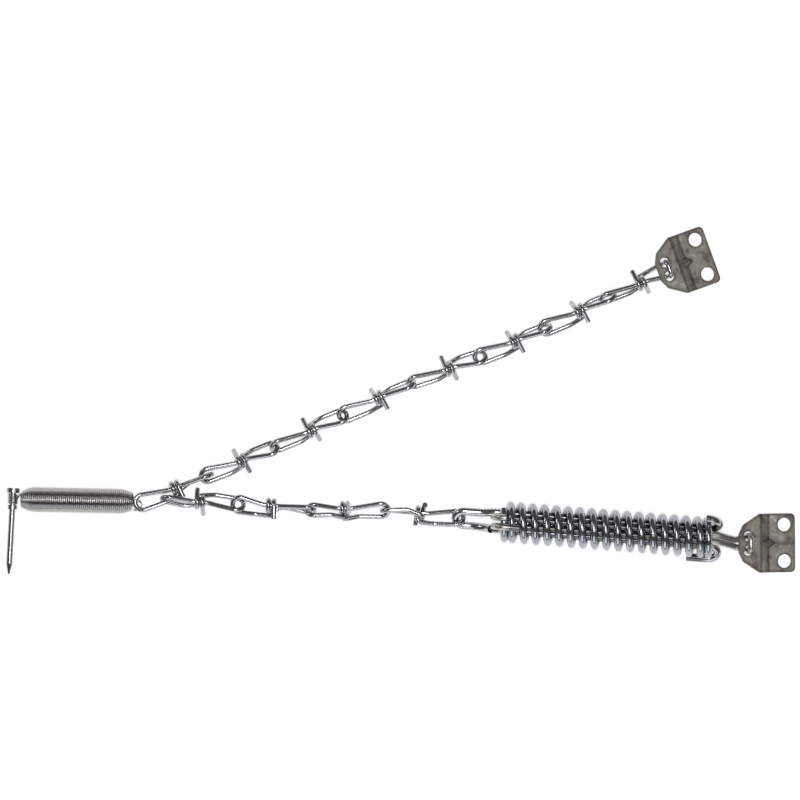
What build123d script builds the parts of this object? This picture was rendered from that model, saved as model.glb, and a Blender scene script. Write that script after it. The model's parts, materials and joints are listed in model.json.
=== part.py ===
from build123d import *
import math
import os

# Storm door chain, lying on a flat surface. Millimetres and degrees, +Z up, headings from +X.
# Two strands of knotted double-loop chain meet at a keeper spring. One strand runs to the door bracket.
# The other runs to a heavy cushion spring, which sits between a draw loop and the frame bracket's yoke.

# Chain link
chain_wire_d = 2.25
turn_gap = 0.08
loop_room = 1.25
loop_a_reach = 19.6
loop_b_reach = 17.3
core_half_length = 3.6
leg_join_reach = 6.0
knot_bend_radius = 1.9
leg_bend_radius = 8.0
tail_a_length = 5.4
tail_b_length = 6.1
tail_slant = 0.7
link_clearance = 0.05

# Cushion spring, and the two wires that cross inside it
cushion_wire_d = 3.4
cushion_outer_d = 18.9
cushion_length = 97.2
cushion_pitch = 5.2
cushion_end_turns = 1.25
cushion_start_angle = 45.0
cushion_arcs_per_turn = 6
spring_clearance = 0.2
draw_wire_d = 3.6
draw_reach = 19.8
draw_leg_drop = 1.3
draw_crown_lift = 0.76093
draw_crown_tilt = 33.0
draw_crown_leg = 9.0
draw_hook_angles = (42.0, 213.0)
draw_hook_tips = (4.8, 11.8)
yoke_wire_d = 3.0
yoke_half_gap = 1.6
yoke_leg_rise = 1.7
yoke_neck_reach = 5.2
yoke_neck_bend = 3.0
yoke_hook_sides = (2.0, -2.2)
yoke_hook_tips = (2.7, 9.0)
yoke_bend_radius = 9.0

# Bracket stampings
plate_thickness = 1.6
plate_half_width = 13.3
flange_end = 22.6
flange_corner_radius = 2.2
shoulder_start = 5.4
nose_side_start = -2.2
nose_half_width = 8.3
nose_front = 4.2
nose_front_half_width = 4.2
nose_corner_radius = 1.5
joggle_height = 3.4
joggle_start = 5.6
joggle_end = 9.6
joggle_radius = 1.2
screw_hole_d = 6.2
screw_hole_spacing = 16.5
screw_hole_reach = 17.6
wire_hole_room = 1.4
wire_hole_spacing = 6.5
dart_start = 6.0
dart_tip = 14.2
dart_radius = 4.3
dart_tip_radius = 0.4
rim_radius = 0.5
wire_clearance = 0.35
wire_lean = 0.8
wire_bend_radius = 1.9

# Keeper spring and its pin
keeper_wire_d = 0.9
keeper_outer_d = 11.5
keeper_eye_end_d = 6.6
keeper_length = 51.0
keeper_taper = 5.0
keeper_rib_pitch = 1.8
keeper_rib_depth = 0.3
keeper_hook_radius = 3.8
keeper_hook_tilt = -42.0
keeper_hook_side = -1.5
keeper_hook_rise = 0.0
keeper_hook_stand = 0.0
keeper_hook_end_d = 10.6
keeper_eye_gap = 3.6
keeper_arm_side = 2.2
pin_shank_d = 2.8
pin_head_d = 5.9
pin_head_thickness = 2.1
pin_collar_d = 4.4
pin_collar_thickness = 1.8
pin_neck_length = 5.4
pin_length = 36.6
pin_point_length = 4.6
pin_point_d = 0.8
pin_clearance = 0.12

# Lie of the chain: heading of each link, turn of its loops about its length, twist between its loops
# and play at the joint that it hangs from
lower_headings = (174.1, 174.4, 180.5, 176.2)
lower_faces = (31.7, 93.0, 143.0, 195.5)
lower_twists = (27.3, 42.0, 12.0, 35.0)
lower_play = (1.2, 1.0, 0.1, 0.1)
lower_lifts = (1.3, 0.9, 0.0, 0.5)
upper_headings = (20.6, 20.0, 22.6, 23.0, 18.4, 21.6, 23.4, 21.2)
upper_faces = (-2.5, 40.0, 52.0, 24.0, 50.0, 27.0, 27.0, 60.0)
upper_twists = (-10.0, -16.0, 0.0, 0.0, 0.0, 0.0, 0.0, 0.0)
upper_lifts = (0.4, 1.0, 0.3, 0.0, 0.0, 0.0, 0.0, 0.0)
upper_play = (0.0, 2.3, 0.1, 0.9, 0.1, 2.1, 2.4, 3.9)
junction_station = 6.5
junction_bearing = 140.0
cushion_heading = -4.1
frame_bracket_reach = 14.5
frame_bracket_offset = -1.4
frame_bracket_heading = 0.8
frame_bracket_pitch = 10.0
door_bracket_reach = 12.4
door_bracket_bearing = 29.5
door_bracket_heading = 20.2
door_bracket_pitch = 9.0
keeper_heading = 179.2
keeper_play = 0.2
pin_heading = -92.8

UP = Vector(0, 0, 1)
ORIGIN = Vector(0, 0, 0)
join_tolerance = 0.02
seat_tolerance = 0.01
seat_limit = 9.0
lift_step = 0.2
lift_limit = 6.0


def direction(heading):
    """Level unit vector at a heading."""
    return Vector(math.cos(math.radians(heading)), math.sin(math.radians(heading)), 0)


def rounded_path(points, radii):
    """Wire of straight runs joined by tangent arcs, with one radius for each inner point."""
    edges = []
    last = points[0]
    for before, corner, after, radius in zip(points, points[1:], points[2:], radii):
        inward = (corner - before).normalized()
        outward = (after - corner).normalized()
        half_turn = math.radians(inward.get_angle(outward)) / 2
        setback = radius * math.tan(half_turn)
        start = corner - inward * setback
        end = corner + outward * setback
        middle = corner + (outward - inward).normalized() * (radius / math.cos(half_turn) - radius)
        if (start - last).length > join_tolerance:
            edges.append(Line(last, start))
        else:
            start = last
        edges.append(ThreePointArc(start, middle, end))
        last = end
    if (points[-1] - last).length > join_tolerance:
        edges.append(Line(last, points[-1]))
    return Wire(edges)


def bent_wire(points, radii, diameter):
    """Round wire bent along the points."""
    start = Plane(origin=points[0], z_dir=points[1] - points[0])
    return sweep(start * Circle(diameter / 2), path=rounded_path(points, radii))


def to_world(frame, points):
    return [frame.from_local_coords(point) for point in points]


# Chain link. Its own X runs along it. Loop B lies at +X in the XY plane and loop A at -X in the XZ plane.
# Each end of the wire wraps once round the straight core between the loops.
wrap_radius = chain_wire_d + turn_gap
wrap_offset = wrap_radius / 2
outer_leg = 2 * wrap_radius
loop_half_width = chain_wire_d + loop_room
loop_centre_offset = outer_leg - loop_half_width
crown_bend_radius = 0.98 * loop_half_width


def turned(point, angle):
    """Point turned about the link's X axis."""
    cosine, sine = math.cos(math.radians(angle)), math.sin(math.radians(angle))
    return Vector(point.X, point.Y * cosine - point.Z * sine, point.Y * sine + point.Z * cosine)


def other_end(point):
    """Half turn that carries the loop B end of a link onto its loop A end."""
    return Vector(-point.X, -point.Z, -point.Y)


def knot_points(tail_length):
    """Tail, one wrap round the core, and the start of the loop's outer leg."""
    points = [
        Vector(-wrap_offset - tail_slant, tail_length, wrap_radius),
        Vector(-wrap_offset, -wrap_radius, wrap_radius),
        Vector(-wrap_offset, -wrap_radius, -wrap_radius),
        Vector(-wrap_offset, outer_leg, -wrap_radius),
        Vector(leg_join_reach, outer_leg, 0),
    ]
    return points, [wrap_radius, wrap_radius, knot_bend_radius, leg_bend_radius]


def loop_points(reach, twist):
    """Far end of a loop, and the end of the core that its inner leg runs into."""
    run = reach - loop_half_width - core_half_length
    to_centre = math.atan2(loop_centre_offset, run)
    opening = math.asin(loop_half_width / math.hypot(run, loop_centre_offset))
    inner_leg = (reach - core_half_length) * math.tan(to_centre - opening)
    points = [
        turned(Vector(reach, outer_leg, 0), -twist / 2),
        turned(Vector(reach, inner_leg, 0), -twist / 2),
        Vector(core_half_length, 0, 0),
    ]
    return points, [crown_bend_radius, crown_bend_radius, leg_bend_radius]


def half_link(reach, tail_length, twist):
    knot, knot_radii = knot_points(tail_length)
    loop, loop_radii = loop_points(reach, twist)
    return knot + loop, knot_radii + loop_radii


def crown_middle(reach, twist):
    """Middle of the wire round the far end of loop B."""
    return turned(Vector(reach, loop_centre_offset, 0), -twist / 2)


class Link:
    """A chain link in its own frame, which is then put in its place."""

    def __init__(self, heading, face, twist):
        self.b_half = half_link(loop_b_reach, tail_b_length, twist)
        self.a_half = half_link(loop_a_reach, tail_a_length, twist)
        self.crown_b = crown_middle(loop_b_reach, twist)
        self.crown_a = other_end(crown_middle(loop_a_reach, twist))
        along = direction(heading)
        loop_b_side = UP.cross(along) * math.sin(math.radians(face)) - UP * math.cos(math.radians(face))
        self.frame = Plane(origin=ORIGIN, x_dir=along, z_dir=along.cross(loop_b_side))
        self.path = rounded_path(*self.corners())
        self.rest_height = chain_wire_d / 2 - self.centre_line().bounding_box().min.Z

    def put(self, x, y, lift=0.0):
        """Set the link down on the surface at x and y, or lift above it."""
        self.frame = Plane(
            origin=(x, y, self.rest_height + lift), x_dir=self.frame.x_dir, z_dir=self.frame.z_dir
        )

    def wire(self, points):
        return to_world(self.frame, points)

    def corners(self):
        """Corners and radii of the whole wire: tail B, round both loops, to tail A."""
        b_points, b_radii = self.b_half
        a_points, a_radii = self.a_half
        return b_points + [other_end(point) for point in reversed(a_points)], b_radii + a_radii[::-1]

    def centre_line(self):
        return self.frame.location * self.path

    def world_crown_b(self):
        return self.frame.from_local_coords(self.crown_b)

    def solid(self):
        points, radii = self.corners()
        return self.frame.location * bent_wire(points, radii, chain_wire_d)


def seat_depth(fixed, moving, inward, spacing):
    """How far a wire goes inward, past the fixed one, until their centre lines just clear, if they do."""
    depth = 0.0
    short = spacing
    while short > seat_tolerance:
        if depth > seat_limit:
            return None
        short = spacing - fixed.distance_to(Pos(inward * depth) * moving)
        depth += max(short, 0)
    return depth


def hook_on(link, own_point, fixed, fixed_point, fixed_d, inward, play, lift=0.0):
    """Catch a link on a fixed wire, with its own point past the fixed one and play mm short of tight.

    A link that can't pass the fixed wire at its lift is raised in small steps until it can.
    """
    spacing = (fixed_d + chain_wire_d) / 2 + link_clearance
    for step in range(round(lift_limit / lift_step)):
        height = lift + step * lift_step
        link.put(0, 0, height)
        offset = fixed_point - link.frame.from_local_coords(own_point)
        link.put(offset.X, offset.Y, height)
        depth = seat_depth(fixed, link.centre_line(), inward, spacing)
        if depth is not None:
            depth += play
            link.put(offset.X + inward.X * depth, offset.Y + inward.Y * depth, height)
            return
    raise ValueError("a link has no seat on the wire before it")


# Cushion spring assembly, laid out along the spring's own axis from the middle of its chain end
cushion_frame = Plane(
    origin=(0, 0, cushion_outer_d / 2), x_dir=direction(cushion_heading), z_dir=UP
)
coil_radius = (cushion_outer_d - cushion_wire_d) / 2
closed_pitch = cushion_wire_d + turn_gap
open_length = cushion_length - cushion_wire_d - 2 * cushion_end_turns * closed_pitch
open_turns = round(open_length / cushion_pitch)
coil_turns = open_turns + 2 * cushion_end_turns


def round_axis(x, radius, angle):
    return Vector(x, radius * math.cos(math.radians(angle)), radius * math.sin(math.radians(angle)))


def coil_x(turn):
    """Place along the axis that the coil has reached after so many turns."""
    closed_start = min(turn, cushion_end_turns)
    opened = min(max(turn - cushion_end_turns, 0), open_turns)
    closed_end = max(turn - cushion_end_turns - open_turns, 0)
    travel = (closed_start + closed_end) * closed_pitch + opened * open_length / open_turns
    return cushion_wire_d / 2 + travel


def first_turn_x(angle):
    """Where the first turn crosses an angle round the axis."""
    return coil_x(((angle - cushion_start_angle) % 360) / 360)


def last_turn_x(angle):
    """Where the last turn crosses an angle round the axis."""
    end_angle = cushion_start_angle + 360 * coil_turns
    return coil_x(coil_turns - ((end_angle - angle) % 360) / 360)


def make_cushion_spring():
    """Coil of tangent arcs, inscribed in a polygon that climbs along the axis."""
    step = 1 / cushion_arcs_per_turn
    corner_radius = coil_radius / math.cos(math.pi * step)
    corners = [
        round_axis(coil_x(index * step), corner_radius, cushion_start_angle + 360 * index * step)
        for index in range(round(coil_turns / step) + 1)
    ]
    radii = []
    for before, corner, after in zip(corners, corners[1:], corners[2:]):
        half_turn = math.radians((corner - before).get_angle(after - corner)) / 2
        radii.append(min((corner - before).length, (after - corner).length) / 2 / math.tan(half_turn))
    corners[0] = (corners[0] + corners[1]) * 0.5
    corners[-1] = (corners[-1] + corners[-2]) * 0.5
    return cushion_frame.location * bent_wire(corners, radii, cushion_wire_d)


def hook_over(leg, hook, bend_x, tip_x, outward):
    """Corners and radii of a hook that folds from a leg back over the end coil."""
    radius = (hook - leg).length / 2
    reach = bend_x + outward * radius
    corners = [Vector(reach, leg.Y, leg.Z), Vector(reach, hook.Y, hook.Z), Vector(tip_x, hook.Y, hook.Z)]
    return corners, [radius, radius]


draw_leg_limit = coil_radius - cushion_wire_d / 2 - draw_wire_d / 2 - spring_clearance
draw_leg_y = math.sqrt(draw_leg_limit**2 - draw_leg_drop**2)
draw_hook_radius = cushion_outer_d / 2 + draw_wire_d / 2 + spring_clearance
draw_across = Vector(0, math.cos(math.radians(draw_crown_tilt)), math.sin(math.radians(draw_crown_tilt)))
draw_crown_height = draw_wire_d / 2 + draw_leg_y * math.sin(math.radians(draw_crown_tilt)) + draw_crown_lift
draw_crown_drop = cushion_outer_d / 2 - draw_crown_height
draw_crown_centre = Vector(-draw_reach + draw_leg_y, 0, -draw_crown_drop)


def draw_half(side, hook_angle, tip):
    """One leg of the draw loop, from the middle of its crown to its hook's tip."""
    leg = Vector(0, side * draw_leg_y, -draw_leg_drop)
    hook = round_axis(0, draw_hook_radius, hook_angle)
    middle = (leg + hook) * 0.5
    middle_angle = math.degrees(math.atan2(middle.Z, middle.Y))
    corners, radii = hook_over(leg, hook, last_turn_x(middle_angle), cushion_length - tip, 1)
    crown = draw_crown_centre + draw_across * (side * draw_leg_y)
    start = [
        crown - Vector(draw_leg_y, 0, 0),
        crown + Vector(draw_crown_leg, 0, 0),
        Vector(-cushion_wire_d, leg.Y, leg.Z),
    ]
    return start + corners, [0.99 * draw_leg_y, 12.0, 12.0] + radii


def make_draw_loop():
    left, left_radii = draw_half(1, draw_hook_angles[0], draw_hook_tips[0])
    right, right_radii = draw_half(-1, draw_hook_angles[1], draw_hook_tips[1])
    points = left[::-1] + right
    return cushion_frame.location * bent_wire(points, left_radii[::-1] + right_radii, draw_wire_d)


def draw_loop_end():
    """Centre line of the draw loop's U end, and the middle of its crown."""
    left, left_radii = draw_half(1, draw_hook_angles[0], draw_hook_tips[0])
    right, right_radii = draw_half(-1, draw_hook_angles[1], draw_hook_tips[1])
    points = left[2::-1] + right[:3]
    path = rounded_path(points, left_radii[1::-1] + right_radii[:2])
    middle = draw_crown_centre - Vector(draw_leg_y, 0, 0)
    return cushion_frame.location * path, cushion_frame.from_local_coords(middle)


# Bracket: a joggled stamping. Local X runs from its two wire holes to its flange, whose underside is Z = 0.
wire_hole_d = yoke_wire_d + wire_hole_room


def plate_outline():
    """Plan of the stamping, with rounded corners."""
    half = [
        (flange_end, plate_half_width),
        (shoulder_start, plate_half_width),
        (nose_side_start, nose_half_width),
        (-nose_front, nose_front_half_width),
    ]
    blank = make_face(Polyline(*half, *[(x, -y) for x, y in reversed(half)], close=True))
    is_flange = blank.vertices().group_by(Axis.X)[-1]
    blank = fillet(is_flange, flange_corner_radius)
    soft_corners = [vertex for vertex in blank.vertices() if vertex.X < shoulder_start + 0.1]
    return fillet(soft_corners, nose_corner_radius)


def sheet_face(height, thickness):
    """Side view of the sheet: flat flange, ramp and a nose raised by height."""
    front = -nose_front - plate_half_width
    back = flange_end + plate_half_width
    tilt = math.atan2(height, joggle_end - joggle_start) / 2
    shift = thickness * math.tan(tilt)
    lower = [Vector(back, 0), Vector(joggle_end, 0), Vector(joggle_start, height), Vector(front, height)]
    upper = [
        Vector(front, height + thickness),
        Vector(joggle_start + shift, height + thickness),
        Vector(joggle_end + shift, thickness),
        Vector(back, thickness),
    ]
    lower_path = rounded_path(lower, [joggle_radius, joggle_radius + thickness])
    upper_path = rounded_path(upper, [joggle_radius + thickness, joggle_radius])
    ends = [Line(lower[-1], upper[0]), Line(upper[-1], lower[0])]
    return Face(Wire(lower_path.edges() + upper_path.edges() + ends))


def dart_cone(radius, tip_radius):
    """Cone that tapers from the nose down onto the flange, cut off at the flange's underside."""
    middle_height = joggle_height + plate_thickness - dart_radius
    length = dart_tip - dart_start
    frame = Plane(origin=(dart_start, 0, middle_height), x_dir=(0, 1, 0), z_dir=(1, 0, 0))
    cone = frame * Cone(radius, tip_radius, length, align=(Align.CENTER, Align.CENTER, Align.MIN))
    above = Pos(dart_start, 0, 0) * Box(
        3 * length, 3 * radius, 3 * radius, align=(Align.CENTER, Align.CENTER, Align.MIN)
    )
    return cone & above


def make_plate():
    sheet = extrude(Plane.XZ * sheet_face(joggle_height, plate_thickness), plate_half_width, both=True)
    plate = sheet & extrude(plate_outline(), 2 * (joggle_height + plate_thickness))
    nose_rim = plate.faces().sort_by(Axis.Z)[-1].outer_wire().edges().filter_by(
        lambda edge: edge.center().X < joggle_start
    )
    plate = fillet(nose_rim, rim_radius)
    plate += dart_cone(dart_radius, dart_tip_radius)
    plate -= dart_cone(dart_radius - plate_thickness, 0)
    for side in (-1, 1):
        plate -= Pos(screw_hole_reach, side * screw_hole_spacing / 2) * Cylinder(screw_hole_d / 2, 20)
        plate -= Pos(0, side * wire_hole_spacing / 2) * Cylinder(wire_hole_d / 2, 20)
    return plate


def bracket_frame(x, y, heading, pitch):
    """Frame of a bracket that stands on its flange's far edge, with its nose lifted by pitch."""
    along = direction(heading) * math.cos(math.radians(pitch)) - UP * math.sin(math.radians(pitch))
    side = UP.cross(direction(heading))
    height = flange_end * math.sin(math.radians(pitch))
    return Plane(origin=(x, y, height), x_dir=along, z_dir=along.cross(side))


def through_nose(frame, wire_d):
    """Corners, from +Y leg to -Y leg, of a wire that comes up one hole and goes down the other."""
    half = wire_hole_spacing / 2
    low = joggle_height - wire_clearance - wire_d / 2
    high = joggle_height + plate_thickness + wire_clearance + wire_d / 2
    corners = [
        Vector(0, half, low),
        Vector(wire_lean, half, high),
        Vector(wire_lean, -half, high),
        Vector(0, -half, low),
    ]
    return to_world(frame, corners), [wire_bend_radius] * 4


cushion_end = cushion_frame.from_local_coords(
    Vector(cushion_length + frame_bracket_reach, frame_bracket_offset, 0)
)
frame_bracket_plane = bracket_frame(
    cushion_end.X, cushion_end.Y, frame_bracket_heading, frame_bracket_pitch
)


def yoke_half(side, hook_side, hook_tip):
    """One leg of the yoke, from its neck by the bracket to its hook's tip."""
    neck = Vector(-yoke_neck_reach, side * yoke_half_gap, joggle_height - wire_clearance - yoke_wire_d / 2)
    leg = Vector(0, hook_side, yoke_leg_rise)
    hook = Vector(0, hook_side, cushion_outer_d / 2 + yoke_wire_d / 2 + spring_clearance)
    middle_angle = math.degrees(math.atan2((leg.Z + hook.Z) / 2, hook_side))
    corners, radii = hook_over(leg, hook, first_turn_x(middle_angle), hook_tip, -1)
    inner = [Vector(cushion_length + 1.5, side * yoke_half_gap, yoke_leg_rise)]
    if abs(hook_side) > yoke_half_gap:
        inner.append(Vector(cushion_length / 5, side * yoke_half_gap, yoke_leg_rise))
    path = [frame_bracket_plane.from_local_coords(neck)] + to_world(cushion_frame, inner + corners)
    return path, [yoke_neck_bend] + [yoke_bend_radius] * len(inner) + radii


def make_yoke():
    left, left_radii = yoke_half(1, yoke_hook_sides[0], yoke_hook_tips[0])
    right, right_radii = yoke_half(-1, yoke_hook_sides[1], yoke_hook_tips[1])
    through, through_radii = through_nose(frame_bracket_plane, yoke_wire_d)
    points = left[::-1] + through + right
    return bent_wire(points, left_radii[::-1] + through_radii + right_radii, yoke_wire_d)


# Lower strand, hung from the draw loop, and upper strand, hung from the last lower link
lower_links = [Link(*lie) for lie in zip(lower_headings, lower_faces, lower_twists)]
upper_links = [Link(*lie) for lie in zip(upper_headings, upper_faces, upper_twists)]


def lay_lower_strand():
    (fixed, middle), fixed_d = draw_loop_end(), draw_wire_d
    lies = list(zip(lower_links, lower_headings, lower_play, lower_lifts))
    for link, heading, play, lift in reversed(lies):
        hook_on(link, link.crown_a, fixed, middle, fixed_d, -direction(heading), play, lift)
        fixed, middle, fixed_d = link.centre_line(), link.world_crown_b(), chain_wire_d


def lay_upper_strand():
    """The first upper link's outer leg is caught by the last lower link's loop B."""
    before = lower_links[0]
    own_points = [other_end(Vector(junction_station, outer_leg, 0))] + [link.crown_a for link in upper_links[1:]]
    pulls = (junction_bearing,) + upper_headings[1:]
    for link, own_point, pull, play, lift in zip(upper_links, own_points, pulls, upper_play, upper_lifts):
        fixed, middle = before.centre_line(), before.world_crown_b()
        hook_on(link, own_point, fixed, middle, chain_wire_d, -direction(pull), play, lift)
        before = link


lay_lower_strand()
lay_upper_strand()
last_link = upper_links[-1]
door_hole = last_link.frame.origin + direction(door_bracket_bearing) * door_bracket_reach
door_bracket_plane = bracket_frame(door_hole.X, door_hole.Y, door_bracket_heading, door_bracket_pitch)


def make_last_upper_link():
    """The link whose loop B is closed through the door bracket's nose."""
    knot, knot_radii = knot_points(tail_b_length)
    through, through_radii = through_nose(door_bracket_plane, chain_wire_d)
    a_points, a_radii = last_link.a_half
    points = (
        last_link.wire(knot)
        + through
        + last_link.wire([Vector(core_half_length, 0, 0)])
        + last_link.wire([other_end(point) for point in reversed(a_points)])
    )
    return bent_wire(points, knot_radii + through_radii + [leg_bend_radius] + a_radii[::-1], chain_wire_d)


# Keeper spring. Local X runs from its hook, in the first upper link's loop A, to the eye round the pin.
def keeper_hook():
    """Corners and radii of the ring at the chain end, from the end coil round to its free tip."""
    tilt = math.radians(keeper_hook_tilt)
    across = Vector(0, math.sin(tilt), math.cos(tilt)) * keeper_hook_radius
    crown = Vector(-keeper_hook_radius - keeper_hook_stand, -keeper_hook_side, keeper_hook_rise)
    high = crown + across
    low = crown - across
    wall_radius = (keeper_hook_end_d - keeper_wire_d) / 2 - keeper_rib_depth
    to_wall = wall_radius / math.hypot(high.Y, high.Z)
    root = Vector(keeper_wire_d, high.Y * to_wall, high.Z * to_wall)
    tip = low + Vector(keeper_hook_radius, 0, 0)
    return [root, high, low, tip], [0.96 * keeper_hook_radius] * 2


def lay_keeper_spring():
    """Frame of the spring, with its ring caught in the first upper link's loop A."""
    catch = upper_links[0].frame.from_local_coords(upper_links[0].crown_a)
    along = direction(keeper_heading)
    reach = keeper_hook_radius + keeper_hook_stand
    start = catch + along * reach + UP.cross(along) * keeper_hook_side
    frame = Plane(origin=(start.X, start.Y, keeper_axis_height), x_dir=along, z_dir=UP)
    hook = frame.location * rounded_path(*keeper_hook())
    spacing = (keeper_wire_d + chain_wire_d) / 2 + link_clearance
    depth = seat_depth(upper_links[0].centre_line(), hook, -along, spacing)
    if depth is None:
        raise ValueError("the keeper spring has no seat in the first upper link")
    return Plane(origin=frame.origin - along * (depth + keeper_play), x_dir=along, z_dir=UP)


keeper_axis_height = keeper_outer_d / 2
keeper_frame = lay_keeper_spring()
pin_eye = Vector(keeper_length + keeper_eye_gap, 0, pin_head_d / 2 - keeper_axis_height)
pin_hole_radius = pin_shank_d / 2 + pin_clearance
pin_axis = direction(pin_heading)
pin_frame = Plane(
    origin=keeper_frame.from_local_coords(pin_eye) - pin_axis * (pin_neck_length / 2), x_dir=UP, z_dir=pin_axis
)


def keeper_radius(x):
    """Outer radius of the close coils, which draw in at the eye end and a little at the hook end."""
    full = keeper_outer_d / 2
    hook_end = keeper_hook_end_d / 2
    eye_end = keeper_eye_end_d / 2
    from_hook = min(x / keeper_taper, 1)
    from_eye = min((keeper_length - x) / keeper_taper, 1)
    hook_side = hook_end + (full - hook_end) * math.sin(from_hook * math.pi / 2)
    eye_side = eye_end + (full - eye_end) * math.sin(from_eye * math.pi / 2)
    return min(hook_side, eye_side)


def make_keeper_spring():
    ribs = round(keeper_length / keeper_rib_pitch)
    pitch = keeper_length / ribs
    outer = []
    for index in range(ribs):
        valley = index * pitch
        crest = (index + 0.5) * pitch
        outer.append((valley, keeper_radius(valley) - keeper_rib_depth))
        outer.append((crest, keeper_radius(crest)))
    outer.append((keeper_length, keeper_radius(keeper_length) - keeper_rib_depth))
    inner = [(x, keeper_radius(x) - keeper_wire_d - keeper_rib_depth) for x, _ in outer[::4]]
    if inner[-1][0] < keeper_length:
        inner.append((keeper_length, keeper_radius(keeper_length) - keeper_wire_d - keeper_rib_depth))
    coils = revolve(make_face(Polyline(*outer, *inner[::-1], close=True)), Axis.X)
    hook = bent_wire(*keeper_hook(), keeper_wire_d)
    eye_outer = pin_hole_radius + keeper_wire_d
    eye_tube = Cylinder(eye_outer, pin_neck_length) - Cylinder(pin_hole_radius, pin_neck_length)
    eye = pin_frame.location * Pos(0, 0, pin_neck_length / 2) * eye_tube
    arm_low = pin_eye.Z - pin_hole_radius - keeper_wire_d / 2
    arm_high = keeper_wire_d - keeper_eye_end_d / 2 + keeper_rib_depth
    arm_corners = [
        Vector(keeper_length - keeper_wire_d, keeper_arm_side, arm_high),
        Vector(keeper_length + keeper_wire_d, keeper_arm_side, arm_low),
        Vector(pin_eye.X, pin_neck_length / 2 - keeper_wire_d, arm_low),
    ]
    arm = bent_wire(arm_corners, [keeper_wire_d], keeper_wire_d)
    return keeper_frame.location * (coils + hook + arm) + eye


def make_pin():
    """Round pin: head, shank through the spring's eye, collar and point."""
    gap = pin_clearance
    collar_start = pin_neck_length + gap
    point_start = pin_length - pin_point_length
    profile = [
        (0, -gap - pin_head_thickness),
        (pin_head_d / 2, -gap - pin_head_thickness),
        (pin_head_d / 2, -gap),
        (pin_shank_d / 2, -gap),
        (pin_shank_d / 2, collar_start),
        (pin_collar_d / 2, collar_start),
        (pin_collar_d / 2, collar_start + pin_collar_thickness),
        (pin_shank_d / 2, collar_start + pin_collar_thickness),
        (pin_shank_d / 2, point_start),
        (pin_point_d / 2, pin_length),
        (0, pin_length),
    ]
    half = make_face(Plane.XZ * Polyline(*profile, close=True))
    return pin_frame.location * revolve(half, Axis.Z)


def all_pieces():
    pieces = {
        "frame_bracket": frame_bracket_plane.location * make_plate(),
        "yoke": make_yoke(),
        "cushion_spring": make_cushion_spring(),
        "draw_loop": make_draw_loop(),
    }
    for index, link in enumerate(lower_links):
        pieces["lower_link_%d" % (index + 1)] = link.solid()
    for index, link in enumerate(upper_links[:-1]):
        pieces["upper_link_%d" % (index + 1)] = link.solid()
    pieces["upper_link_%d" % len(upper_links)] = make_last_upper_link()
    pieces["door_bracket"] = door_bracket_plane.location * make_plate()
    pieces["keeper_spring"] = make_keeper_spring()
    pieces["anchor_pin"] = make_pin()
    return pieces


pieces = all_pieces()
boxes = [piece.bounding_box() for piece in pieces.values()]
middle_x = (min(box.min.X for box in boxes) + max(box.max.X for box in boxes)) / 2
middle_y = (min(box.min.Y for box in boxes) + max(box.max.Y for box in boxes)) / 2
lowest_z = min(box.min.Z for box in boxes)
recentre = Pos(-middle_x, -middle_y, -lowest_z)

os.makedirs("parts", exist_ok=True)
for name, piece in pieces.items():
    export_step(recentre * piece, "parts/%s.step" % name)
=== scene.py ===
import json
import math

import bpy
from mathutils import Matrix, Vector


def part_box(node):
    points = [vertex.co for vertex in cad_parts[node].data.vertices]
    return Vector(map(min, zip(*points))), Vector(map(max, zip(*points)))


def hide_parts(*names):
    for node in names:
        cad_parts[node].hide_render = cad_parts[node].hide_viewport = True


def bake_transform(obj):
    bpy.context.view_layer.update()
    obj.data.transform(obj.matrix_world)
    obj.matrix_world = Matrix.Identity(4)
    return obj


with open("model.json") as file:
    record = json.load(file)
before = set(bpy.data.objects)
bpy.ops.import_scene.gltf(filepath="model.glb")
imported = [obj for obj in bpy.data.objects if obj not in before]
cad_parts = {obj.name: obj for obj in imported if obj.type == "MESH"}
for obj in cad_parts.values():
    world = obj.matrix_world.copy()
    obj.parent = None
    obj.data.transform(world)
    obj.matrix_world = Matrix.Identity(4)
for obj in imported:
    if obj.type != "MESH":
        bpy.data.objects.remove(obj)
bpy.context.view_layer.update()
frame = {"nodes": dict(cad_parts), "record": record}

# Sizes in metres and angles in degrees, as in the CAD but for the keeper spring's ring, hook end and tapers
cushion_wire_d = 0.0034
cushion_outer_d = 0.0189
cushion_length = 0.0972
cushion_pitch = 0.0052
cushion_end_turns = 1.25
cushion_turn_gap = 0.00008
cushion_start_angle = 45.0
cushion_heading = -4.1
keeper_wire_d = 0.0009
keeper_outer_d = 0.0115
keeper_eye_end_d = 0.0066
keeper_hook_end_d = 0.0078
keeper_length = 0.051
keeper_taper = 0.006
keeper_heading = 179.2
keeper_hook_radius = 0.0038
keeper_hook_tilt = -42.0
keeper_hook_side = -0.0015
keeper_eye_gap = 0.0036
pin_shank_d = 0.0028
pin_neck_length = 0.0054
pin_head_d = 0.0059
pin_clearance = 0.00012
ring_sweep = 290.0
coil_lead_angle = 40.0
eye_start_angle = 180.0

# How finely the springs are drawn
cushion_turn_steps = 40
cushion_roundness = 5
keeper_turn_steps = 36
keeper_roundness = 3
eye_turn_steps = 24
ring_steps = 40
arm_steps = 6
lead_steps = 4

# The photograph is square and looks straight down on the chain
view_width = 0.3606
view_centre = (-0.00082, 0.00029)
view_level = 0.006
view_roll = 0.33
camera_height = 2.4
camera_reach = 20.0
sensor_width = 36.0


def direction(heading):
    """Unit vectors along a heading in the plane of the floor, and across it to the left."""
    along = Vector((math.cos(math.radians(heading)), math.sin(math.radians(heading)), 0))
    return along, Vector((-along.y, along.x, 0))


def cushion_middle():
    low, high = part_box("cushion_spring")
    return (Vector(low) + Vector(high)) / 2


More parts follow.
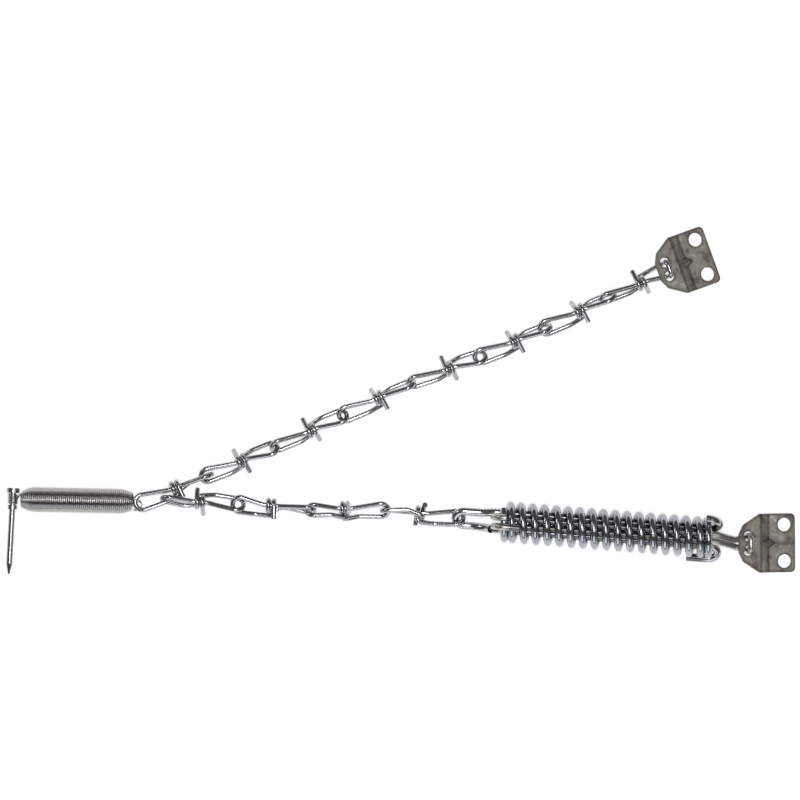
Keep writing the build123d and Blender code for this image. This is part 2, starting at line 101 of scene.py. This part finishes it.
def new_wire(name, points, diameter, roundness):
    """Round wire along the points, as a mesh."""
    data = bpy.data.curves.new(name, "CURVE")
    data.dimensions = "3D"
    data.bevel_depth = diameter / 2
    data.bevel_resolution = roundness
    data.use_fill_caps = True
    data.twist_mode = "MINIMUM"
    spline = data.splines.new("POLY")
    spline.points.add(len(points) - 1)
    for target, point in zip(spline.points, points):
        target.co = (*point, 1.0)
    curve = bpy.data.objects.new(name + "_curve", data)
    bpy.context.scene.collection.objects.link(curve)
    mesh = bpy.data.meshes.new_from_object(curve.evaluated_get(bpy.context.evaluated_depsgraph_get()))
    bpy.data.objects.remove(curve)
    mesh.name = name
    piece = bpy.data.objects.new(name, mesh)
    bpy.context.scene.collection.objects.link(piece)
    mesh.polygons.foreach_set("use_smooth", [True] * len(mesh.polygons))
    return piece


# Materials, with noise scales in cycles a metre and depths in metres
# Most values of a noise lie between these two
noise_low = 0.3
noise_high = 0.7
cloud_scale = 420.0
rub_scale = 700.0
grain_scale = 2600.0
grain_depth = 0.00002
stain_scale = 170.0
rolling_scale = 1500.0
rolling_stretch = (1.0, 0.12, 1.0)
rolling_strength = 0.25
rolling_depth = 0.00005
plate_roughness = (0.42, 0.58)
plate_stains = [
    (0.38, (0.18, 0.155, 0.145)),
    (0.47, (0.33, 0.29, 0.265)),
    (0.54, (0.30, 0.295, 0.235)),
    (0.64, (0.49, 0.46, 0.45)),
]
edge_color = (0.11, 0.10, 0.09)
edge_radius = 0.0024
edge_rays = 6
edge_turned = 0.92
edge_level = 0.998
# Painted shade on wires inside the cushion spring: its colour, how far in from the spring's ends it starts,
# and how softly it fades
inside_shade_color = (0.14, 0.14, 0.145)
inside_shade_inset = 0.002
inside_shade_fade = 0.003

# The Mix node has sockets of the same name for each kind of value: these are the ones for colours
mix_first = 6
mix_second = 7
mix_result = 2


class Nodes:
    """A material's node tree, with short calls to add and join nodes."""

    def __init__(self, name):
        self.material = bpy.data.materials.new(name)
        self.material.use_nodes = True
        self.tree = self.material.node_tree
        self.shader = self.tree.nodes["Principled BSDF"]
        self.place = self.add("ShaderNodeTexCoord").outputs["Object"]

    def add(self, kind, **values):
        node = self.tree.nodes.new(kind)
        for key, value in values.items():
            setattr(node, key, value)
        return node

    def join(self, output, target):
        self.tree.links.new(output, target)

    def paint(self, **values):
        """Plain values for the shader's inputs, by their names with underscores for spaces."""
        for key, value in values.items():
            self.shader.inputs[key.replace("_", " ")].default_value = value

    def noise(self, scale, detail=4.0, roughness=0.55, stretch=(1, 1, 1)):
        mapping = self.add("ShaderNodeMapping")
        mapping.inputs["Scale"].default_value = stretch
        self.join(self.place, mapping.inputs["Vector"])
        noise = self.add("ShaderNodeTexNoise")
        noise.inputs["Scale"].default_value = scale
        noise.inputs["Detail"].default_value = detail
        noise.inputs["Roughness"].default_value = roughness
        self.join(mapping.outputs["Vector"], noise.inputs["Vector"])
        return noise.outputs["Fac"]

    def ramp(self, value, stops):
        ramp = self.add("ShaderNodeValToRGB")
        elements = ramp.color_ramp.elements
        while len(elements) < len(stops):
            elements.new(0.5)
        for element, (place, color) in zip(elements, stops):
            element.position = place
            element.color = (*color, 1.0)
        self.join(value, ramp.inputs["Fac"])
        return ramp.outputs["Color"]

    def range(self, value, low, high, start=noise_low, end=noise_high):
        node = self.add("ShaderNodeMapRange")
        node.inputs["From Min"].default_value = start
        node.inputs["From Max"].default_value = end
        node.inputs["To Min"].default_value = low
        node.inputs["To Max"].default_value = high
        self.join(value, node.inputs["Value"])
        return node.outputs["Result"]

    def combine(self, operation, first, second):
        """What a Math node makes of two outputs."""
        node = self.add("ShaderNodeMath", operation=operation)
        self.join(first, node.inputs[0])
        self.join(second, node.inputs[1])
        return node.outputs[0]

    def between(self, along, start, end, edge):
        """1 where the distance along a direction lies between start and end, else 0, with soft edges."""
        travel = self.add("ShaderNodeVectorMath", operation="DOT_PRODUCT")
        travel.inputs[1].default_value = along
        self.join(self.place, travel.inputs[0])
        rise = self.range(travel.outputs["Value"], 0.0, 1.0, start, start + edge)
        fall = self.range(travel.outputs["Value"], 1.0, 0.0, end - edge, end)
        return self.combine("MULTIPLY", rise, fall)

    def rim(self):
        """1 along sharp edges, else 0, from how far a rounded normal leaves the real one."""
        bevel = self.add("ShaderNodeBevel", samples=edge_rays)
        bevel.inputs["Radius"].default_value = edge_radius
        turn = self.add("ShaderNodeVectorMath", operation="DOT_PRODUCT")
        self.join(bevel.outputs["Normal"], turn.inputs[0])
        self.join(self.add("ShaderNodeNewGeometry").outputs["Normal"], turn.inputs[1])
        return self.range(turn.outputs["Value"], 1.0, 0.0, edge_turned, edge_level)

    def mix(self, factor, first, second):
        node = self.add("ShaderNodeMix", data_type="RGBA")
        self.join(factor, node.inputs["Factor"])
        self.join(first, node.inputs[mix_first])
        node.inputs[mix_second].default_value = (*second, 1.0)
        return node.outputs[mix_result]

    def bump(self, height, strength, distance):
        bump = self.add("ShaderNodeBump")
        bump.inputs["Strength"].default_value = strength
        bump.inputs["Distance"].default_value = distance
        self.join(height, bump.inputs["Height"])
        self.join(bump.outputs["Normal"], self.shader.inputs["Normal"])


def plated_wire(name, dark, light, roughness, grain, painted_shade_inside=False):
    """Bright plated wire: cloudy plating, duller rubbed spots and a faint grain.

    A wire can be darkened with painted shade where it runs inside the cushion spring.
    """
    nodes = Nodes(name)
    nodes.paint(Metallic=1.0)
    color = nodes.ramp(nodes.noise(cloud_scale), [(noise_low, dark), (noise_high, light)])
    if painted_shade_inside:
        # Painted shade where the wire runs inside the cushion spring
        color = nodes.mix(nodes.between(*inside_cushion()), color, inside_shade_color)
    nodes.join(color, nodes.shader.inputs["Base Color"])
    nodes.join(nodes.range(nodes.noise(rub_scale), *roughness), nodes.shader.inputs["Roughness"])
    if grain:
        nodes.bump(nodes.noise(grain_scale, detail=2.0), grain, grain_depth)
    return nodes.material


def plate_steel(name):
    """Dull stamped sheet: grey-brown with olive stains, dark edges and rolling marks."""
    nodes = Nodes(name)
    nodes.paint(Metallic=1.0)
    color = nodes.ramp(nodes.noise(stain_scale, detail=5.0, roughness=0.6), plate_stains)
    color = nodes.mix(nodes.rim(), color, edge_color)
    nodes.join(color, nodes.shader.inputs["Base Color"])
    rolling = nodes.noise(rolling_scale, detail=3.0, stretch=rolling_stretch)
    nodes.join(nodes.range(rolling, *plate_roughness), nodes.shader.inputs["Roughness"])
    nodes.bump(rolling, rolling_strength, rolling_depth)
    return nodes.material


def inside_cushion():
    """Direction of the cushion spring, both ends of the stretch inside it that gets painted shade, and how
    softly they fade.
    """
    along, _ = direction(cushion_heading)
    middle = along.dot(cushion_middle())
    start = middle - cushion_length / 2 + inside_shade_inset
    end = middle + cushion_length / 2 - inside_shade_inset
    return along, start, end, inside_shade_fade


# For each slot the material's name, the dark and light colour, the roughness from and to, and the grain
wire_looks = {
    "chain_wire": ("chain_plating", (0.37, 0.37, 0.375), (0.48, 0.48, 0.49), (0.16, 0.22), 0.03),
    "draw_wire": ("draw_plating", (0.40, 0.40, 0.41), (0.50, 0.50, 0.51), (0.15, 0.21), 0.03),
    "cushion_wire": ("cushion_plating", (0.32, 0.335, 0.36), (0.43, 0.45, 0.48), (0.11, 0.17), 0.04),
    "keeper_wire": ("keeper_plating", (0.45, 0.44, 0.425), (0.53, 0.52, 0.505), (0.12, 0.14), 0.0),
    "yoke_wire": ("yoke_plating", (0.44, 0.42, 0.395), (0.58, 0.56, 0.53), (0.28, 0.38), 0.08),
    "pin": ("pin_plating", (0.28, 0.28, 0.28), (0.44, 0.44, 0.44), (0.16, 0.26), 0.05),
}
# Wires that get painted shade inside the cushion spring
painted_shade_slots = ("draw_wire", "yoke_wire")
materials = {
    slot: plated_wire(*look, painted_shade_inside=slot in painted_shade_slots)
    for slot, look in wire_looks.items()
}
materials["bracket_plate"] = plate_steel("bracket_steel")


def dress(piece, slot):
    piece.data.materials.clear()
    piece.data.materials.append(materials[slot])


def slot_of(node):
    return next(row["material_slot"] for row in frame["record"]["subparts"] if row["node"] == node)


# Cushion spring, a true helix with closed end turns
def wind_cushion_spring():
    centre = cushion_middle()
    along, across = direction(cushion_heading)
    start = Vector((centre.x, centre.y, cushion_outer_d / 2)) - along * (cushion_length / 2)
    radius = (cushion_outer_d - cushion_wire_d) / 2
    closed_pitch = cushion_wire_d + cushion_turn_gap
    open_length = cushion_length - cushion_wire_d - 2 * cushion_end_turns * closed_pitch
    open_turns = round(open_length / cushion_pitch)
    turns = open_turns + 2 * cushion_end_turns
    points = []
    for index in range(round(turns * cushion_turn_steps) + 1):
        turn = index / cushion_turn_steps
        closed_start = min(turn, cushion_end_turns)
        opened = min(max(turn - cushion_end_turns, 0), open_turns)
        closed_end = max(turn - cushion_end_turns - open_turns, 0)
        travel = (closed_start + closed_end) * closed_pitch + opened * open_length / open_turns
        angle = math.radians(cushion_start_angle + 360 * turn)
        out = across * (radius * math.cos(angle)) + Vector((0, 0, radius * math.sin(angle)))
        points.append(start + along * (cushion_wire_d / 2 + travel) + out)
    piece = new_wire("cushion_coil", points, cushion_wire_d, cushion_roundness)
    dress(piece, "cushion_wire")
    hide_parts("cushion_spring")
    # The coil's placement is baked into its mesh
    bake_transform(piece)


# Keeper spring: a ring in the chain, close coils, an arm and eye turns round the pin's neck
def keeper_radius(x):
    """Radius of the coil's middle line at a distance from its hook end, tapered toward both ends."""
    full = keeper_outer_d / 2
    sides = []
    for distance, end_d in ((x, keeper_hook_end_d), (keeper_length - x, keeper_eye_end_d)):
        risen = min(distance / keeper_taper, 1)
        sides.append(end_d / 2 + (full - end_d / 2) * math.sin(risen * math.pi / 2))
    return min(sides) - keeper_wire_d / 2


def smooth_run(points, steps):
    """Points on a smooth curve through the given ones."""
    ends = [points[0] * 2 - points[1]] + points + [points[-1] * 2 - points[-2]]
    run = []
    for before, first, second, after in zip(ends, ends[1:], ends[2:], ends[3:]):
        for index in range(steps):
            t = index / steps
            linear = (second - before) * t
            square = (before * 2 - first * 5 + second * 4 - after) * t**2
            cubic = (first * 3 - before - second * 3 + after) * t**3
            run.append((first * 2 + linear + square + cubic) / 2)
    return run + [points[-1]]


def keeper_ring_points():
    """The ring at the chain end, from where the last coil leaves it round to its free tip."""
    tilt = math.radians(keeper_hook_tilt)
    across = Vector((0, math.sin(tilt), math.cos(tilt)))
    centre = Vector((0, -keeper_hook_side, 0))
    ring = []
    for index in range(ring_steps + 1):
        angle = math.radians(90 - ring_sweep * index / ring_steps)
        out = Vector((-keeper_hook_radius * math.cos(angle), 0, 0))
        ring.append(centre + across * (keeper_hook_radius * math.sin(angle)) + out)
    return ring


def helix(radius_at, place_at, start_angle, turns, turn_steps):
    """Points of a coil about the X axis: each turn has its place along it, and each place its radius."""
    points = []
    for index in range(round(turns * turn_steps) + 1):
        turn = index / turn_steps
        angle = math.radians(start_angle + 360 * turn)
        radius = radius_at(place_at(turn))
        points.append(Vector((place_at(turn), radius * math.cos(angle), radius * math.sin(angle))))
    return points


def keeper_eye_points():
    """Close turns round the pin's neck, from the side where the arm comes in."""
    middle = Vector((keeper_length + keeper_eye_gap, 0, pin_head_d / 2 - keeper_outer_d / 2))
    radius = pin_shank_d / 2 + pin_clearance + keeper_wire_d / 2
    turns = math.floor(pin_neck_length / keeper_wire_d) - 1
    pitch = (pin_neck_length - keeper_wire_d) / turns
    loops = helix(lambda _: radius, lambda turn: pitch * turn, eye_start_angle, turns, eye_turn_steps)
    eye = []
    for point in loops:
        side = pin_neck_length / 2 - keeper_wire_d / 2 - point.x
        eye.append(middle + Vector((point.z, side, point.y)))
    return eye


def wind_keeper_spring():
    low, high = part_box("keeper_spring")
    along, across = direction(keeper_heading)
    reach = keeper_hook_radius + keeper_wire_d / 2
    middle_y = (low[1] + high[1]) / 2 - along.y * keeper_length / 2
    origin = Vector((high[0] - reach, middle_y, keeper_outer_d / 2))
    turns = round(keeper_length / keeper_wire_d) - 1
    pitch = (keeper_length - keeper_wire_d) / turns
    ring = keeper_ring_points()
    start_angle = math.degrees(math.atan2(ring[0].z, ring[0].y)) + coil_lead_angle
    coil = helix(
        keeper_radius,
        lambda turn: keeper_wire_d / 2 + pitch * turn,
        start_angle,
        turns,
        keeper_turn_steps,
    )
    eye = keeper_eye_points()
    arm_middle = (coil[-1] + eye[0]) / 2 - Vector((0, 0, keeper_wire_d))
    arm = smooth_run([coil[-1], arm_middle, eye[0]], arm_steps)
    lead = smooth_run([ring[0], (ring[0] + coil[0]) / 2, coil[0]], lead_steps)
    local = ring[::-1] + lead[1:-1] + coil + arm[1:-1] + eye
    points = [origin + along * point.x + across * point.y + Vector((0, 0, point.z)) for point in local]
    piece = new_wire("keeper_coil", points, keeper_wire_d, keeper_roundness)
    dress(piece, "keeper_wire")
    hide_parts("keeper_spring")
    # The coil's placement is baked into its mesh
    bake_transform(piece)


wind_cushion_spring()
wind_keeper_spring()
for node, piece in frame["nodes"].items():
    if node not in ("cushion_spring", "keeper_spring"):
        dress(piece, slot_of(node))

# Floor, light and camera
white = (1, 1, 1)
floor_half = 6.0
floor_grey = (0.8, 0.8, 0.8, 1)
floor_roughness = 0.9
floor_specular = 0.1
floor_glow = 0.6
world_light = 0.11
world_in_view = 0.9

# Each lamp's name, place, target, width, length, power and colour
lamps = [
    ("overhead_strip", (0.0, 0.05, 1.5), (0, 0.05, 0), 0.22, 1.0, 5.0, white),
    ("overhead_core", (0.0, 0.05, 1.49), (0, 0.05, 0), 0.22, 0.28, 2.8, white),
    ("near_box", (0.0, -1.7, 0.9), (0, 0, 0), 1.6, 1.3, 10.5, (0.86, 0.92, 1.0)),
    ("right_box", (0.75, -0.2, 1.4), (0.15, -0.05, 0), 0.5, 0.5, 1.5, white),
    ("left_box", (-1.6, 0.7, 1.1), (0, 0, 0), 0.6, 0.6, 4.0, white),
]


def make_floor():
    """Matt floor that glows only where the camera, a reflection or a see-through part looks at it."""
    corners = [(x * floor_half, y * floor_half, 0) for x, y in ((-1, -1), (1, -1), (1, 1), (-1, 1))]
    mesh = bpy.data.meshes.new("floor")
    mesh.from_pydata(corners, [], [(0, 1, 2, 3)])
    floor = bpy.data.objects.new("floor", mesh)
    bpy.context.scene.collection.objects.link(floor)
    nodes = Nodes("pale_floor")
    nodes.paint(Base_Color=floor_grey, Roughness=floor_roughness, Specular_IOR_Level=floor_specular)
    ray = nodes.add("ShaderNodeLightPath").outputs
    seen = nodes.combine("MAXIMUM", ray["Is Camera Ray"], ray["Is Glossy Ray"])
    seen = nodes.combine("MAXIMUM", seen, ray["Is Transmission Ray"])
    nodes.paint(Emission_Color=(*white, 1))
    glow = nodes.range(seen, 0.0, floor_glow, 0.0, 1.0)
    nodes.join(glow, nodes.shader.inputs["Emission Strength"])
    mesh.materials.append(nodes.material)


def area_light(name, place, target, width, length, power, color):
    """Soft box whose length runs along the view's Y where it hangs overhead."""
    data = bpy.data.lights.new(name, "AREA")
    data.shape = "RECTANGLE"
    data.size = width
    data.size_y = length
    data.energy = power
    data.color = color
    lamp = bpy.data.objects.new(name, data)
    lamp.location = place
    lamp.rotation_euler = (Vector(target) - Vector(place)).to_track_quat("-Z", "Y").to_euler()
    bpy.context.scene.collection.objects.link(lamp)


def light_the_world():
    """Weak light from all round, which the camera sees as a pale background."""
    world = bpy.data.worlds.new("studio")
    world.use_nodes = True
    tree = world.node_tree
    background = tree.nodes["Background"].inputs
    ray = tree.nodes.new("ShaderNodeLightPath")
    seen = tree.nodes.new("ShaderNodeMapRange")
    seen.inputs["To Min"].default_value = world_light
    seen.inputs["To Max"].default_value = world_in_view
    tree.links.new(ray.outputs["Is Camera Ray"], seen.inputs["Value"])
    tree.links.new(seen.outputs["Result"], background["Strength"])
    background["Color"].default_value = (*white, 1)
    bpy.context.scene.world = world


def place_camera():
    data = bpy.data.cameras.new("camera")
    data.sensor_width = sensor_width
    data.lens = sensor_width * (camera_height - view_level) / view_width
    data.clip_end = camera_reach
    camera = bpy.data.objects.new("camera", data)
    camera.location = (*view_centre, camera_height)
    camera.rotation_euler = (0, 0, math.radians(view_roll))
    bpy.context.scene.collection.objects.link(camera)
    bpy.context.scene.camera = camera


make_floor()
light_the_world()
for lamp in lamps:
    area_light(*lamp)
place_camera()
bpy.context.scene.view_settings.view_transform = "Standard"
